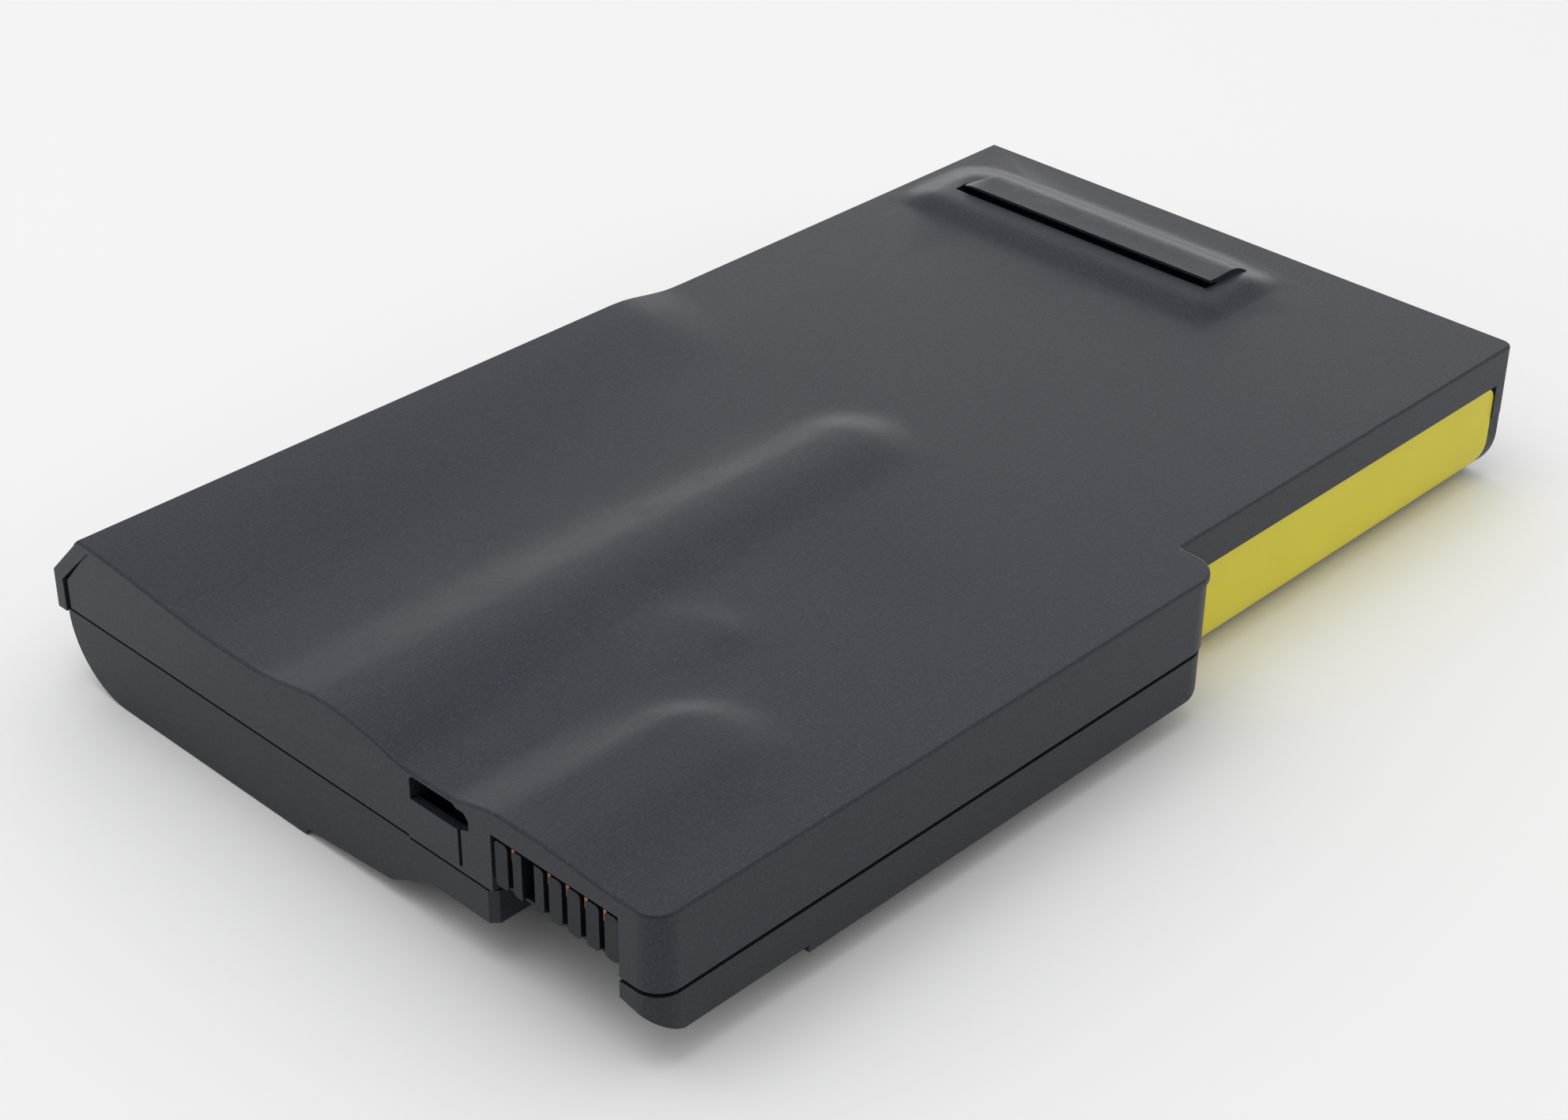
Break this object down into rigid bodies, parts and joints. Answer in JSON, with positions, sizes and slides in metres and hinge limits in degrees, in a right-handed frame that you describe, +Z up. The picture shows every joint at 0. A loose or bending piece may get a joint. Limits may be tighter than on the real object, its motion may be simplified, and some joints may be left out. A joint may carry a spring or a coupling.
{
  "type": "laptop battery",
  "caption": "Removable laptop battery pack with softly ridged cover, finger grip, comb connector, latch slot, bevelled back edge and a plain yellow label on its stepped side.",
  "frame": {"origin": "centre of the plan outline, on the flat underside", "axes": "+X along the pack from the connector end to the grip end, +Y from the stepped front to the bevelled back, +Z up through the ridged cover"},
  "size_m": [0.1558, 0.0988, 0.0213],
  "materials": {
    "cover_plastic": "fine-grained satin",
    "case_plastic": "fine-grained satin",
    "connector_plastic": "smooth",
    "contact_metal": "bright",
    "label_film": "plain satin film",
    "cell_sleeve": "shrunk sleeve",
    "nickel": "bright strip",
    "insulating_paper": "matte",
    "foam": "matte foam",
    "board_laminate": "satin",
    "chip_resin": "matte",
    "component_ceramic": "matte"
  },
  "bodies": {
    "root": {"top_cover": "cover_plastic", "lower_case": "case_plastic", "contact_block": "connector_plastic", "contact_blade_1": "contact_metal", "contact_blade_2": "contact_metal", "contact_blade_3": "contact_metal", "contact_blade_4": "contact_metal", "contact_blade_5": "contact_metal", "side_label": "label_film", "cell_1": "cell_sleeve", "cell_2": "cell_sleeve", "cell_3": "cell_sleeve", "cell_4": "cell_sleeve", "cell_5": "cell_sleeve", "cell_6": "cell_sleeve", "left_link": "nickel", "right_link": "nickel", "centre_link": "nickel", "centre_tab": "nickel", "left_tab": "nickel", "right_tab": "nickel", "return_strap": "nickel", "left_paper": "insulating_paper", "right_paper": "insulating_paper", "cell_pad_1": "foam", "cell_pad_2": "foam", "circuit_board": "board_laminate", "gauge_chip": "chip_resin", "switch_chip_1": "chip_resin", "switch_chip_2": "chip_resin", "current_resistor": "component_ceramic", "board_fuse": "component_ceramic"}
  },
  "joints": []
}
